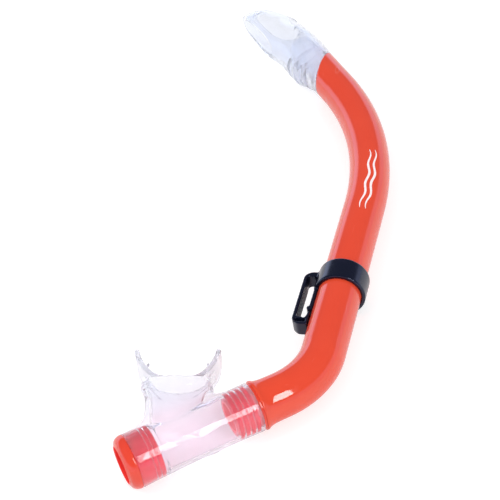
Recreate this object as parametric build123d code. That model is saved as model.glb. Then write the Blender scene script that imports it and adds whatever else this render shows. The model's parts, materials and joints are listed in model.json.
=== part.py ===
from build123d import *
from math import cos, radians, sin, sqrt, tan
import os

# Snorkel: a bent tube lying flat, mouthpiece to the left, splash guard at the far end.
# Millimetres. The tube's plane is Z = 0, and its straight run points along +Y.
# The origin is the middle of the keeper's strap slot.

# Tube
TUBE_R = 12.5
BORE_R = 10.0
TUBE_X = 17.4                 # from the strap slot to the axis of the straight run
STRAIGHT_LOW_Y = -41.0
STRAIGHT_HIGH_Y = 85.4
LOWER_BEND_R = 43.2
LOWER_BEND_ANGLE = 52.0
ENTRY_LENGTH = 14.2
UPPER_BEND_R = 214.0
UPPER_BEND_ANGLE = 36.0
TOP_LENGTH = 21.0             # straight end, measured on the axis to the slanted cut
TOP_CUT_ANGLE = 47.0
COLLAR_R = 14.1
COLLAR_LIP = 3.0
COLLAR_FLARE = 8.0

# Barbed connector between tube and mouthpiece
CONNECTOR_BORE_R = 8.4
CONNECTOR_LIP = 1.4
PLUG_LENGTH = 12.0
PLUG_CHAMFER = 1.5
SPIGOT_R = 10.6
SPIGOT_LENGTH = 17.5
BARB_R = 11.6
BARB_PITCH = 5.0
BARB_COUNT = 3
BARB_FOOT = 1.2               # height of each barb's steep side above the one before
BARB_CREST = 0.8
BARB_RAMP = 2.3
RUNNING_GAP = 0.05

# Mouthpiece: one soft moulding of sleeve, port, flange and bite tabs
SLEEVE_LENGTH = 72.6
SLEEVE_R_TUBE_END = 14.0
SLEEVE_R_WAIST = 13.6
SLEEVE_R_PURGE_END = 15.2
CHAMBER_BORE_R = BARB_R + RUNNING_GAP
PURGE_BORE_R = 12.8
PURGE_BARREL_LENGTH = 13.0
PORT_FROM_TUBE_END = 47.2
PORT_SWING = 70.0             # about the chamber, from +Z towards the tube's hollow side
PORT_TILT = 26.0              # from square to the chamber, back towards the tube
PORT_REACH = 29.5             # chamber axis to the back of the flange
PORT_HALF_WIDTH = 16.0
PORT_HALF_HEIGHT = 10.4
AIRWAY_WALL = 2.2
FLANGE_HALF_WIDTH = 22.0
FLANGE_SWEEP = 19.5           # how far the ends stand in front of the middle
FLANGE_HEIGHT = 26.0
FLANGE_CORNER_R = 5.5
FLANGE_WALL = 2.0
TAB_OFFSET = 12.6
TAB_WIDTH = 9.0
TAB_REACH = 10.5
TAB_WALL = 3.0
TAB_LUG_HEIGHT = 9.0

# Purge valve in the free end of the sleeve
NOSE_LENGTH = 6.3
NOSE_OPENING_R = 10.4
NOSE_END_R = 12.2
HOUSING_BORE_R = 11.0
GROOVE_DEPTH = 0.4
GROOVE_WIDTH = 1.0
GROOVE_PITCH = 2.4
GROOVE_COUNT = 2
SEAT_DEPTH = 6.0              # from the sleeve's rim, inwards
SEAT_WALL = 1.6
SEAT_RING_WIDTH = 2.2
HUB_R = 3.0
STEM_HOLE_R = 1.1
SPOKE_WIDTH = 1.4
SPOKE_COUNT = 4
DISC_R = 9.6
DISC_WALL = 0.7
STEM_R = 1.0
KNOB_R = 1.8
KNOB_WALL = 0.8
KNOB_POINT = 1.6
VALVE_LIFT = 1.2

# Strap keeper
KEEPER_RING_R = 14.9
KEEPER_RING_HEIGHT = 15.6
KEEPER_RING_MID_Y = 13.9
KEEPER_DEPTH = 9.0
SLOT_WIDTH = 6.2
STRAP_WALL = 1.8
LOOP_TOP = 6.4                # above the middle of the ring
LOOP_LENGTH = 43.4
LOOP_NECK = 3.4
LOOP_BAR = 5.8
LOOP_TOP_CORNER_R = 5.5
LOOP_LOW_CORNER_R = 3.5
TONGUE_END = -25.0            # below the middle of the ring
TONGUE_WALL = 1.6
TOOTH_R = 1.2
HOOK_GAP = 1.9                # the strap goes in between hook and tongue
HOOK_CLEARANCE = 0.25         # between the hook and the tube
HOOK_WALL = 1.9
RECESS_EDGE = 1.3
RECESS_DEPTH = 2.5

# Splash guard
SOCKET_R = BORE_R - 0.02
SOCKET_BORE_R = 8.6
SOCKET_PLUG = 20.0
SOCKET_REACH = 36.0           # past the middle of the slanted cut, inside the hood
HOOD_LENGTH = 100.0           # from the middle of the slanted cut to the tip
HOOD_WALL = 1.7
HOOD_CAP = 0.3                # share of the length over which the tip closes
HOOD_SWELL = 3.1              # growth in radius just past the tube
HOOD_BELLY = 2.4              # more growth, in the tube's plane only, round the scoop
HOOD_BEND_FROM = 0.6          # share of the length where it starts to bend over
HOOD_BEND_SHIFT = 9.0         # how far the bend carries the tip to the hollow side
SCOOP_FROM = 45.0             # where the opening starts, from the slanted cut
SCOOP_SHIFT = 18.9
SCOOP_LEAN = 2.5
DRAIN_SLOT = 1.8
DRAIN_WIDTH = 18.0
DRAIN_FIRST = 7.0
DRAIN_PITCH = 11.9
DRAIN_COUNT = 2


def turned(points):
    """Solid of revolution about Z through the half-profile (radius, height)."""
    outline = Plane.XZ * make_face(Polyline(*points, close=True))
    return revolve(outline, Axis.Z)


# Centreline of the tube, from the mouthpiece end to the top

straight = Line((TUBE_X, STRAIGHT_LOW_Y), (TUBE_X, STRAIGHT_HIGH_Y))
lower_bend = JernArc(straight @ 0, (0, -1), LOWER_BEND_R, -LOWER_BEND_ANGLE)
entry = PolarLine(lower_bend @ 1, ENTRY_LENGTH, direction=lower_bend % 1)
upper_bend = JernArc(straight @ 1, (0, 1), UPPER_BEND_R, UPPER_BEND_ANGLE)
over_length = TUBE_R * tan(radians(TOP_CUT_ANGLE)) + 2
top = PolarLine(upper_bend @ 1, TOP_LENGTH + over_length, direction=upper_bend % 1)
centreline = Wire([entry, lower_bend, straight, upper_bend, top])

joint = entry @ 1
chamber_way = entry % 1
top_way = top % 0
rim_centre = upper_bend @ 1 + top_way * TOP_LENGTH

# Local frames: Z along the chamber towards the purge, Z up the tube's top end
chamber = Location(Plane(origin=joint, x_dir=(0, 0, 1), z_dir=chamber_way))
outward = Vector(cos(radians(UPPER_BEND_ANGLE)), sin(radians(UPPER_BEND_ANGLE)), 0)
top_end = Location(Plane(origin=rim_centre, x_dir=outward, z_dir=top_way))


def swept(radius):
    """The space within a radius of the tube's centreline."""
    start = Plane(origin=top @ 1, z_dir=top % 1)
    return sweep(start * Circle(radius), path=centreline)


def above_cut(size=120.0):
    """Everything past the slanted cut; the outer side of the tube is the longer one."""
    block = Pos(0, 0, size / 2) * Box(size, size, size)
    return top_end * Rot(0, -TOP_CUT_ANGLE, 0) * block


def make_tube():
    """Extruded and bent tube, flared at the mouthpiece end, cut at a slant at the top."""
    lip = COLLAR_LIP
    flare = Plane.XZ * make_face(
        [
            Line((TUBE_R - 1, 0), (COLLAR_R, 0)),
            Line((COLLAR_R, 0), (COLLAR_R, -lip)),
            Spline(
                (COLLAR_R, -lip),
                (TUBE_R, -lip - COLLAR_FLARE),
                tangents=((-0.6, -1), (0, -1)),
            ),
            Line((TUBE_R, -lip - COLLAR_FLARE), (TUBE_R - 1, -lip - COLLAR_FLARE)),
            Line((TUBE_R - 1, -lip - COLLAR_FLARE), (TUBE_R - 1, 0)),
        ]
    )
    tube = swept(TUBE_R) + chamber * revolve(flare, Axis.Z)
    return tube - swept(BORE_R) - above_cut()


def make_connector():
    """Hollow plug for the tube's bore, a thin lip, and a barbed spigot for the sleeve."""
    lip_r = COLLAR_R - 0.5
    barb_start = SPIGOT_LENGTH - BARB_COUNT * BARB_PITCH
    points = [
        (CONNECTOR_BORE_R, -PLUG_LENGTH),
        (BORE_R - 0.4 * PLUG_CHAMFER, -PLUG_LENGTH),
        (BORE_R, -PLUG_LENGTH + PLUG_CHAMFER),
        (BORE_R, 0),
        (lip_r, 0),
        (lip_r, CONNECTOR_LIP),
        (SPIGOT_R, CONNECTOR_LIP),
    ]
    for barb in range(BARB_COUNT):
        foot = barb_start + barb * BARB_PITCH + BARB_FOOT
        crest = foot + 0.3
        points += [
            (SPIGOT_R, foot),
            (BARB_R, crest),
            (BARB_R, crest + BARB_CREST),
            (SPIGOT_R, crest + BARB_CREST + BARB_RAMP),
        ]
    points += [(SPIGOT_R, SPIGOT_LENGTH), (CONNECTOR_BORE_R, SPIGOT_LENGTH)]
    return chamber * turned(points)


# The port's frame: port_way points out of it, flange_way runs along the flange
hollow_side = chamber_way.cross(Vector(0, 0, 1))
square_way = Vector(0, 0, cos(radians(PORT_SWING))) + hollow_side * sin(radians(PORT_SWING))
tilt_cos, tilt_sin = cos(radians(PORT_TILT)), sin(radians(PORT_TILT))
port_way = square_way * tilt_cos - chamber_way * tilt_sin
flange_way = chamber_way * -tilt_cos - square_way * tilt_sin
port_root = joint + chamber_way * PORT_FROM_TUBE_END
flange_r = (FLANGE_HALF_WIDTH**2 + FLANGE_SWEEP**2) / (2 * FLANGE_SWEEP)


def across_port(reach):
    """Plane square to the port, X along the flange, at a distance from the chamber axis."""
    return Plane(origin=port_root + port_way * reach, x_dir=flange_way, z_dir=port_way)


def port_loft(shrink, reach):
    """Port from the chamber's axis out to the flange, less a wall thickness."""
    root = across_port(0) * Ellipse(PORT_HALF_WIDTH + 3 - shrink, SLEEVE_R_WAIST - 0.8 - shrink)
    waist = across_port(0.6 * reach) * Ellipse(
        PORT_HALF_WIDTH - shrink, PORT_HALF_HEIGHT - shrink
    )
    mouth = across_port(reach) * Ellipse(
        PORT_HALF_WIDTH + 1 - shrink, PORT_HALF_HEIGHT - shrink
    )
    return loft([root, waist, mouth])


def make_flange():
    """Curved bite plate, its rounded ends swept forward around the teeth."""
    plan = across_port(PORT_REACH) * Rot(-90, 0, 0)
    ring = Pos(0, -flange_r) * (Circle(flange_r) - Circle(flange_r - FLANGE_WALL))
    band = extrude(plan * ring, FLANGE_HEIGHT / 2, both=True)
    back = 2 * FLANGE_CORNER_R
    side_length = FLANGE_SWEEP + back
    side_middle = port_root + port_way * (PORT_REACH + FLANGE_SWEEP - side_length / 2)
    side = Plane(origin=side_middle, x_dir=port_way, z_dir=flange_way)
    outline = side * RectangleRounded(side_length, FLANGE_HEIGHT, FLANGE_CORNER_R)
    return band & extrude(outline, FLANGE_HALF_WIDTH + FLANGE_WALL, both=True)


def make_bite_tab(side):
    """Flat tab held between the teeth, with an upright lug at its end."""
    base = PORT_REACH + flange_r - sqrt(flange_r**2 - TAB_OFFSET**2)
    spot = across_port(base) * Pos(side * TAB_OFFSET, 0, 0)
    blade = spot * Pos(0, 0, TAB_REACH / 2) * Box(TAB_WIDTH, TAB_WALL, TAB_REACH)
    lug_at = TAB_REACH - TAB_WALL / 2
    lug = spot * Pos(0, 0, lug_at) * Box(TAB_WIDTH, TAB_LUG_HEIGHT, TAB_WALL)
    return blade + lug


def make_mouthpiece():
    """Soft sleeve over connector and purge housing, with the port and its flange."""
    start = CONNECTOR_LIP
    purge_step = SLEEVE_LENGTH - PURGE_BARREL_LENGTH - 1
    waist_at = 0.45 * SLEEVE_LENGTH
    outline = [
        Line((0, start), (SLEEVE_R_TUBE_END, start)),
        Spline(
            (SLEEVE_R_TUBE_END, start),
            (SLEEVE_R_WAIST, waist_at),
            (SLEEVE_R_PURGE_END, SLEEVE_LENGTH),
        ),
        Line((SLEEVE_R_PURGE_END, SLEEVE_LENGTH), (0, SLEEVE_LENGTH)),
        Line((0, SLEEVE_LENGTH), (0, start)),
    ]
    sleeve = chamber * revolve(Plane.XZ * make_face(outline), Axis.Z)
    bore = chamber * turned(
        [
            (0, 0),
            (CHAMBER_BORE_R, 0),
            (CHAMBER_BORE_R, purge_step - 3),
            (PURGE_BORE_R, purge_step),
            (PURGE_BORE_R, SLEEVE_LENGTH + 1),
            (0, SLEEVE_LENGTH + 1),
        ]
    )
    body = sleeve + port_loft(0, PORT_REACH + 1) + make_flange()
    body += make_bite_tab(1)
    body += make_bite_tab(-1)
    return body - bore - port_loft(AIRWAY_WALL, PORT_REACH + 2 * FLANGE_WALL)


def make_purge_housing():
    """Barrel pressed into the sleeve, with a domed nose around the outlet."""
    rim = SLEEVE_LENGTH
    outline = [
        Line((HOUSING_BORE_R, rim - PURGE_BARREL_LENGTH), (PURGE_BORE_R, rim - PURGE_BARREL_LENGTH)),
        Line((PURGE_BORE_R, rim - PURGE_BARREL_LENGTH), (PURGE_BORE_R, rim)),
        Line((PURGE_BORE_R, rim), (SLEEVE_R_PURGE_END, rim)),
        Spline(
            (SLEEVE_R_PURGE_END, rim),
            (NOSE_END_R, rim + NOSE_LENGTH),
            tangents=((0, 1), (-1, 0.6)),
        ),
        Line((NOSE_END_R, rim + NOSE_LENGTH), (NOSE_OPENING_R, rim + NOSE_LENGTH)),
        Line((NOSE_OPENING_R, rim + NOSE_LENGTH), (HOUSING_BORE_R, rim + 1)),
        Line((HOUSING_BORE_R, rim + 1), (HOUSING_BORE_R, rim - PURGE_BARREL_LENGTH)),
    ]
    housing = revolve(Plane.XZ * make_face(outline), Axis.Z)
    for groove in range(GROOVE_COUNT):
        height = rim - PURGE_BARREL_LENGTH + GROOVE_PITCH * (groove + 1)
        ring = Cylinder(PURGE_BORE_R + 1, GROOVE_WIDTH) - Cylinder(
            PURGE_BORE_R - GROOVE_DEPTH, GROOVE_WIDTH
        )
        housing -= Pos(0, 0, height) * ring
    return chamber * housing


seat_height = SLEEVE_LENGTH - SEAT_DEPTH


def make_purge_seat():
    """Spoked ring that carries the valve disc."""
    ring = Circle(HOUSING_BORE_R) - Circle(HOUSING_BORE_R - SEAT_RING_WIDTH)
    for spoke in range(SPOKE_COUNT):
        bar = Pos(HOUSING_BORE_R / 2 - 0.5, 0) * Rectangle(HOUSING_BORE_R - 1, SPOKE_WIDTH)
        ring += Rot(0, 0, spoke * 360 / SPOKE_COUNT) * bar
    ring += Circle(HUB_R)
    ring -= Circle(STEM_HOLE_R)
    return chamber * Pos(0, 0, seat_height - SEAT_WALL) * extrude(ring, SEAT_WALL)


def make_purge_disc():
    """Soft mushroom valve: a disc on the seat, its stem through the hub, a knob behind."""
    knob_top = -SEAT_WALL - VALVE_LIFT - 0.1
    points = [
        (0, DISC_WALL),
        (DISC_R, DISC_WALL),
        (DISC_R, 0),
        (STEM_R, 0),
        (STEM_R, knob_top),
        (KNOB_R, knob_top),
        (KNOB_R, knob_top - KNOB_WALL),
        (0, knob_top - KNOB_WALL - KNOB_POINT),
    ]
    return chamber * Pos(0, 0, seat_height) * turned(points)


def slab(left, right, low, high, depth):
    """Block between two X values and two Y values, centred on the tube's plane."""
    return Pos((left + right) / 2, (low + high) / 2, 0) * Box(right - left, high - low, depth)


def make_keeper():
    """Ring that grips the tube, and an open loop for the mask strap on its hollow side."""
    outer = -TUBE_X - SLOT_WIDTH / 2 - STRAP_WALL
    tongue_face = -TUBE_X + SLOT_WIDTH / 2
    low = LOOP_TOP - LOOP_LENGTH
    bar_top = low + LOOP_BAR
    hook_top = TONGUE_END - HOOK_GAP
    hook_face = -TUBE_R - HOOK_CLEARANCE
    wall = slab(outer, outer + STRAP_WALL, low, LOOP_TOP, KEEPER_DEPTH)
    neck = slab(outer, 0, LOOP_TOP - LOOP_NECK, LOOP_TOP, KEEPER_DEPTH)
    bar = slab(outer, hook_face, low, bar_top, KEEPER_DEPTH)
    hook = slab(hook_face - HOOK_WALL, hook_face, low, hook_top, KEEPER_DEPTH)
    tongue = slab(tongue_face, tongue_face + TONGUE_WALL, TONGUE_END, LOOP_TOP, KEEPER_DEPTH)
    tooth = Pos(tongue_face + 0.2, TONGUE_END + TOOTH_R, 0) * Cylinder(TOOTH_R, KEEPER_DEPTH)
    loop = wall + neck + bar + hook + tongue + tooth
    outer_corners = loop.edges().filter_by(Axis.Z).group_by(Axis.X)[0].sort_by(Axis.Y)
    loop = fillet(outer_corners[-1], LOOP_TOP_CORNER_R)
    outer_corners = loop.edges().filter_by(Axis.Z).group_by(Axis.X)[0].sort_by(Axis.Y)
    loop = fillet(outer_corners[0], LOOP_LOW_CORNER_R)
    recess = Pos(0, 0, KEEPER_DEPTH / 2) * slab(
        outer + 1.4 * RECESS_EDGE,
        hook_face - RECESS_EDGE,
        low + 1.4 * RECESS_EDGE,
        bar_top - RECESS_EDGE,
        2 * RECESS_DEPTH,
    )
    ring = Rot(90, 0, 0) * Cylinder(KEEPER_RING_R, KEEPER_RING_HEIGHT)
    hole = Rot(90, 0, 0) * Cylinder(TUBE_R + RUNNING_GAP, 3 * LOOP_LENGTH)
    keeper = ring + loop - hole - recess
    return Pos(TUBE_X, KEEPER_RING_MID_Y, 0) * keeper


def eased(value, low, high):
    """0 below low, 1 above high, and a smooth step between."""
    t = min(max((value - low) / (high - low), 0), 1)
    return t * t * (3 - 2 * t)


def hood_section(share, shrink):
    """Section of the hood at a share of its length, less a wall thickness."""
    past = max(share - 1 + HOOD_CAP, 0) / HOOD_CAP
    cap = sqrt(1 - past**2)
    bend = max(share - HOOD_BEND_FROM, 0) / (1 - HOOD_BEND_FROM)
    first, second = eased(share, -0.05, 0.2), eased(share, 0.35, 0.7)
    shift = HOOD_SWELL * first + 1.6 * HOOD_BELLY * second + HOOD_BEND_SHIFT * bend**2
    half_in_plane = (TUBE_R + HOOD_SWELL * first + HOOD_BELLY * second) * cap
    half_across = (TUBE_R + HOOD_SWELL * eased(share, 0, 0.25)) * cap**0.75
    spot = top_end * Pos(-shift, 0, share * HOOD_LENGTH)
    return spot * Ellipse(half_in_plane - shrink, half_across - shrink)


def hood_body(shrink):
    """Horn of the splash guard: it swells, bends to the hollow side and closes at the tip."""
    foot = -TUBE_R * tan(radians(TOP_CUT_ANGLE)) - 1
    shares = [foot / HOOD_LENGTH, 0.02, 0.12, 0.22, 0.34, 0.46, 0.58, 1 - HOOD_CAP]
    shares += [1 - HOOD_CAP + HOOD_CAP * sin(radians(turn)) for turn in (25, 45, 60, 75)]
    return loft([hood_section(share, shrink) for share in shares])


def drain_slots():
    """Narrow cuts across the hollow side, just above the tube, that let water out."""
    depth = 14.0
    cuts = [
        top_end * Pos(-BORE_R - 0.3 * depth, 0, DRAIN_FIRST + slot * DRAIN_PITCH)
        * Box(depth, DRAIN_WIDTH, DRAIN_SLOT)
        for slot in range(DRAIN_COUNT)
    ]
    return Compound(children=cuts)


def make_hood():
    """Clear horn with a scoop on its hollow side and drain slots near the tube."""
    tall = 4 * HOOD_LENGTH
    shell = hood_body(0) - hood_body(HOOD_WALL)
    collar_height = 2 * TUBE_R * tan(radians(TOP_CUT_ANGLE))
    collar = hood_body(0) & (top_end * Cylinder(TUBE_R, collar_height))
    core = top_end * Cylinder(BORE_R, 2 * SOCKET_REACH + 1)
    below = top_end * Rot(0, -TOP_CUT_ANGLE, 0) * Pos(0, 0, -tall / 2) * Box(tall, tall, tall)
    corner = top_end * Pos(-SCOOP_SHIFT, 0, SCOOP_FROM) * Rot(0, -SCOOP_LEAN, 0)
    scoop = corner * Pos(-tall / 2, 0, tall / 2) * Box(tall, tall, tall)
    return shell + collar - core - below - scoop - drain_slots()


def make_socket():
    """Clear sleeve that plugs into the tube and carries the hood."""
    pipe = Pos(0, 0, (SOCKET_REACH - SOCKET_PLUG) / 2) * (
        Cylinder(SOCKET_R, SOCKET_REACH + SOCKET_PLUG)
        - Cylinder(SOCKET_BORE_R, SOCKET_REACH + SOCKET_PLUG)
    )
    return top_end * pipe - drain_slots()


pieces = {
    "main_tube": make_tube,
    "barbed_connector": make_connector,
    "mouthpiece": make_mouthpiece,
    "purge_housing": make_purge_housing,
    "purge_seat": make_purge_seat,
    "purge_valve_disc": make_purge_disc,
    "strap_keeper": make_keeper,
    "splash_hood": make_hood,
    "splash_socket": make_socket,
}

os.makedirs("parts", exist_ok=True)
for name, make in pieces.items():
    export_step(make(), f"parts/{name}.step")
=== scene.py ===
import json
from math import cos, pi, radians, sin, sqrt, tan

import bmesh
import bpy
import numpy as np
from mathutils import Matrix, Quaternion, Vector


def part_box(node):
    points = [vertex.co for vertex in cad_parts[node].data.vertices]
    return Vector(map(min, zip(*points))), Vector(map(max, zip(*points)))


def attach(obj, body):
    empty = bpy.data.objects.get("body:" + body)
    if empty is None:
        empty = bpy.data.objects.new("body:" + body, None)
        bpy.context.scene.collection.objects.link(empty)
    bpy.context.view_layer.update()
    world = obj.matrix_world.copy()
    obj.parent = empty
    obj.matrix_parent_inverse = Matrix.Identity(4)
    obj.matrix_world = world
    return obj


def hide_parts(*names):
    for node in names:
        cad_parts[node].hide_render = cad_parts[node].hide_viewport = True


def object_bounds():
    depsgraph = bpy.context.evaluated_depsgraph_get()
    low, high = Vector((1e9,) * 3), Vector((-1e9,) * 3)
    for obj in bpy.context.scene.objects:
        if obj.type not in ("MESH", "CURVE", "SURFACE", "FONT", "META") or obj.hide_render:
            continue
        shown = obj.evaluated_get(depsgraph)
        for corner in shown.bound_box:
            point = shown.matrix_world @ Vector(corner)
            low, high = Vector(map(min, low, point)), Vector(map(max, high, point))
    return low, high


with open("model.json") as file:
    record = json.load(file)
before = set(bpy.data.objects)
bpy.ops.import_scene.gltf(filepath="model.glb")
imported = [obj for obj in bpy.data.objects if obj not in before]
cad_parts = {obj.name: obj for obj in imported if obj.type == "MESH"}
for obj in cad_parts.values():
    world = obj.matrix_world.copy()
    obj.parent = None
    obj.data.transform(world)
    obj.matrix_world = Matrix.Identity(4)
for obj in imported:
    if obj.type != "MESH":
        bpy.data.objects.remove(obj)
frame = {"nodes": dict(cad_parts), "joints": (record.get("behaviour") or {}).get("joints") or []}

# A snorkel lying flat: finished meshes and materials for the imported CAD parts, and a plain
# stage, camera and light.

bounds_at_load = [list(corner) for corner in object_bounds()]

# Lengths are in millimetres, and meshes are scaled to metres when they are made.
# Angles are in degrees until they are used.
MM = 0.001

# Main sizes, the same as those of the CAD parts or close to them
TUBE_R = 12.5
TUBE_BORE_R = 10.0
ENTRY_LENGTH = 14.2
LOWER_BEND_R = 43.2
LOWER_BEND_ANGLE = 52.0
STRAIGHT_LENGTH = 126.4
UPPER_BEND_R = 214.0
UPPER_BEND_ANGLE = 36.0
TOP_LENGTH = 21.0
TOP_CUT_ANGLE = 47.0
COLLAR_R = 14.1
SLEEVE_LENGTH = 72.6
SLEEVE_START = 1.4
SPIGOT_GRIP_R = 11.3
SPIGOT_LENGTH = 16.4
CHAMBER_BORE_R = 11.75
PURGE_GRIP_R = 13.15
PURGE_BARREL = 13.8
PORT_FROM_JOINT = 47.2
PORT_SWING = 70.0
PORT_TILT = 26.0
FLANGE_REACH = 30.2
KEEPER_MID_Y = 13.9
HOOD_LENGTH = 100.0


# Frames of reference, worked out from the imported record

swivel = next(j for j in frame["joints"] if j["name"] == "mouthpiece_swivel")
JOINT = np.array(swivel["pos_m"]) / MM
CHAMBER_WAY = np.array(swivel["axis"])
UPRIGHT = np.array([0.0, 0.0, 1.0])
PORT_ROOT = JOINT + CHAMBER_WAY * PORT_FROM_JOINT

# The port's frame: PORT_WAY points out of it, FLANGE_WAY runs along the flange
HOLLOW_SIDE = np.cross(CHAMBER_WAY, UPRIGHT)
SQUARE_WAY = UPRIGHT * cos(radians(PORT_SWING)) + HOLLOW_SIDE * sin(radians(PORT_SWING))
TILT_COS = cos(radians(PORT_TILT))
TILT_SIN = sin(radians(PORT_TILT))
PORT_WAY = SQUARE_WAY * TILT_COS - CHAMBER_WAY * TILT_SIN
FLANGE_WAY = -CHAMBER_WAY * TILT_COS - SQUARE_WAY * TILT_SIN
PORT_UP = np.cross(FLANGE_WAY, PORT_WAY)

# The tube's centreline, as a heading that changes at a steady rate in each bend
LOWER_BEND_LENGTH = LOWER_BEND_R * radians(LOWER_BEND_ANGLE)
UPPER_BEND_LENGTH = UPPER_BEND_R * radians(UPPER_BEND_ANGLE)
STRAIGHT_START = ENTRY_LENGTH + LOWER_BEND_LENGTH
STRAIGHT_END = STRAIGHT_START + STRAIGHT_LENGTH
RIM_AT = STRAIGHT_END + UPPER_BEND_LENGTH + TOP_LENGTH
WALK_STEP = 0.25
WALK_BEFORE_JOINT = 2.0
WALK_PAST_RIM = 22.0


def heading(along):
    """Angle of the tube from +Y towards -X, at a distance from the joint."""
    bends = [ENTRY_LENGTH, STRAIGHT_START, STRAIGHT_END, STRAIGHT_END + UPPER_BEND_LENGTH]
    angles = [-LOWER_BEND_ANGLE, 0, 0, UPPER_BEND_ANGLE]
    return np.radians(np.interp(along, bends, angles))


def centreline(along):
    """Points on the tube's axis, and the axis's direction and convex side there."""
    fine = np.arange(-WALK_BEFORE_JOINT, RIM_AT + WALK_PAST_RIM, WALK_STEP)
    turn = heading(fine[:-1] + WALK_STEP / 2)
    x = np.concatenate([[0], np.cumsum(-WALK_STEP * np.sin(turn))])
    y = np.concatenate([[0], np.cumsum(WALK_STEP * np.cos(turn))])
    x += JOINT[0] - np.interp(0, fine, x)
    y += JOINT[1] - np.interp(0, fine, y)
    angle = heading(along)
    flat = np.zeros_like(angle)
    points = np.stack([np.interp(along, fine, x), np.interp(along, fine, y), flat], axis=-1)
    way = np.stack([-np.sin(angle), np.cos(angle), flat], axis=-1)
    convex = np.stack([np.cos(angle), np.sin(angle), flat], axis=-1)
    return points, way, convex


RIM_CENTRE, TOP_WAY, CONVEX_WAY = [part[0] for part in centreline(np.array([RIM_AT]))]
HOLLOW_WAY = -CONVEX_WAY


# Fields: a field is roughly the distance from a surface, and is negative inside it

def blend_min(a, b, width):
    """The smaller of two fields, rounded off over a width where they meet."""
    share = np.clip(0.5 + 0.5 * (b - a) / width, 0, 1)
    return b * (1 - share) + a * share - width * share * (1 - share)


def blend_max(a, b, width):
    """The larger of two fields, rounded off over a width where they meet."""
    return -blend_min(-a, -b, width)


def smooth_step(value, low, high):
    """Rises from 0 at the low value to 1 at the high one, with no kink at either."""
    t = np.clip((value - low) / (high - low), 0, 1)
    return t * t * (3 - 2 * t)


def bell(value, middle, width):
    """Falls away from 1 on both sides of a middle value."""
    return np.exp(-((value - middle) / width) ** 2)


def rounded_box(x, y, z, half, radius):
    """Field of a box round the origin, from its half sizes and the radius of its edges."""
    parts = [np.abs(v) - (h - radius) for v, h in zip((x, y, z), half)]
    outside = np.sqrt(sum(np.maximum(p, 0) ** 2 for p in parts))
    return outside + np.minimum(np.maximum.reduce(parts), 0) - radius


def oval(across, up, half_across, half_up):
    """Field of an elliptical tube."""
    reach = np.sqrt((across / half_across) ** 2 + (up / half_up) ** 2)
    return (reach - 1) * np.minimum(half_across, half_up)


# Making meshes

SLOPE_REACH = 0.05
LEAST_STEEPNESS = 0.05
LONGEST_PULL = 0.6            # onto the surface, in cells
PULLS_PER_PASS = 2
MERGE_DISTANCE = 1e-7         # in metres
LONGEST_CUT_BACK = 0.45       # of a side, where a corner is rounded off


def add_object(name, mesh, material, body):
    """Links a mesh to the scene, gives it its material, and fixes it to a CAD body."""
    piece = bpy.data.objects.new(name, mesh)
    bpy.context.scene.collection.objects.link(piece)
    mesh.materials.clear()
    mesh.materials.append(material)
    for face in mesh.polygons:
        face.use_smooth = True
    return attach(piece, body)


def mesh_from(name, points, faces):
    """Mesh of points in millimetres and faces as lists of point numbers."""
    mesh = bpy.data.meshes.new(name)
    mesh.from_pydata((points * MM).tolist(), [], faces)
    mesh.update()
    return mesh


def facing_out(mesh):
    """Merges points that fall together and turns every face outwards."""
    edit = bmesh.new()
    edit.from_mesh(mesh)
    bmesh.ops.remove_doubles(edit, verts=edit.verts, dist=MERGE_DISTANCE)
    bmesh.ops.recalc_face_normals(edit, faces=edit.faces)
    edit.to_mesh(mesh)
    edit.free()
    return mesh


def net_points(values):
    """One point in each grid cell the surface crosses, and each cell's point number."""
    shape = tuple(n - 1 for n in values.shape)
    corners = [np.array((i, j, k)) for i in (0, 1) for j in (0, 1) for k in (0, 1)]
    total = np.zeros(shape + (3,))
    count = np.zeros(shape)

    def at(corner):
        i, j, k = corner
        return values[i:i + shape[0], j:j + shape[1], k:k + shape[2]]

    for n, near in enumerate(corners):
        for far in corners[n + 1:]:
            if np.abs(far - near).sum() != 1:
                continue
            a, b = at(near), at(far)
            cross = (a < 0) != (b < 0)
            share = np.where(cross, a / np.where(cross, a - b, 1), 0)
            place = near + share[..., None] * (far - near)
            total += cross[..., None] * place
            count += cross
    active = count > 0
    number = np.full(shape, -1)
    number[active] = np.arange(active.sum())
    spots = np.argwhere(active) + total[active] / count[active][:, None]
    return spots, number


def net_faces(values, number):
    """A four-sided face round each grid edge the surface crosses."""
    faces = []
    for axis in range(3):
        order = (axis, (axis + 1) % 3, (axis + 2) % 3)
        inside = np.transpose(values < 0, order)
        cells = np.transpose(number, order)
        near, far = inside[:-1, 1:-1, 1:-1], inside[1:, 1:-1, 1:-1]
        a, b = cells[:, 1:, 1:], cells[:, :-1, 1:]
        c, d = cells[:, :-1, :-1], cells[:, 1:, :-1]
        for crossed, around in ((near & ~far, (a, b, c, d)), (far & ~near, (d, c, b, a))):
            faces.append(np.stack([cell[crossed] for cell in around], axis=1))
    return np.concatenate(faces)


def pulled_onto(field, points, cell):
    """The points, each moved up or down the field's slope towards its surface."""
    slopes = []
    for axis in np.eye(3):
        ahead = field(points + SLOPE_REACH * axis)
        behind = field(points - SLOPE_REACH * axis)
        slopes.append((ahead - behind) / (2 * SLOPE_REACH))
    rise = np.stack(slopes, axis=1)
    steep = np.maximum((rise ** 2).sum(axis=1), LEAST_STEEPNESS)
    step = (field(points) / steep)[:, None] * rise
    return points - np.clip(step, -LONGEST_PULL * cell, LONGEST_PULL * cell)


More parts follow.
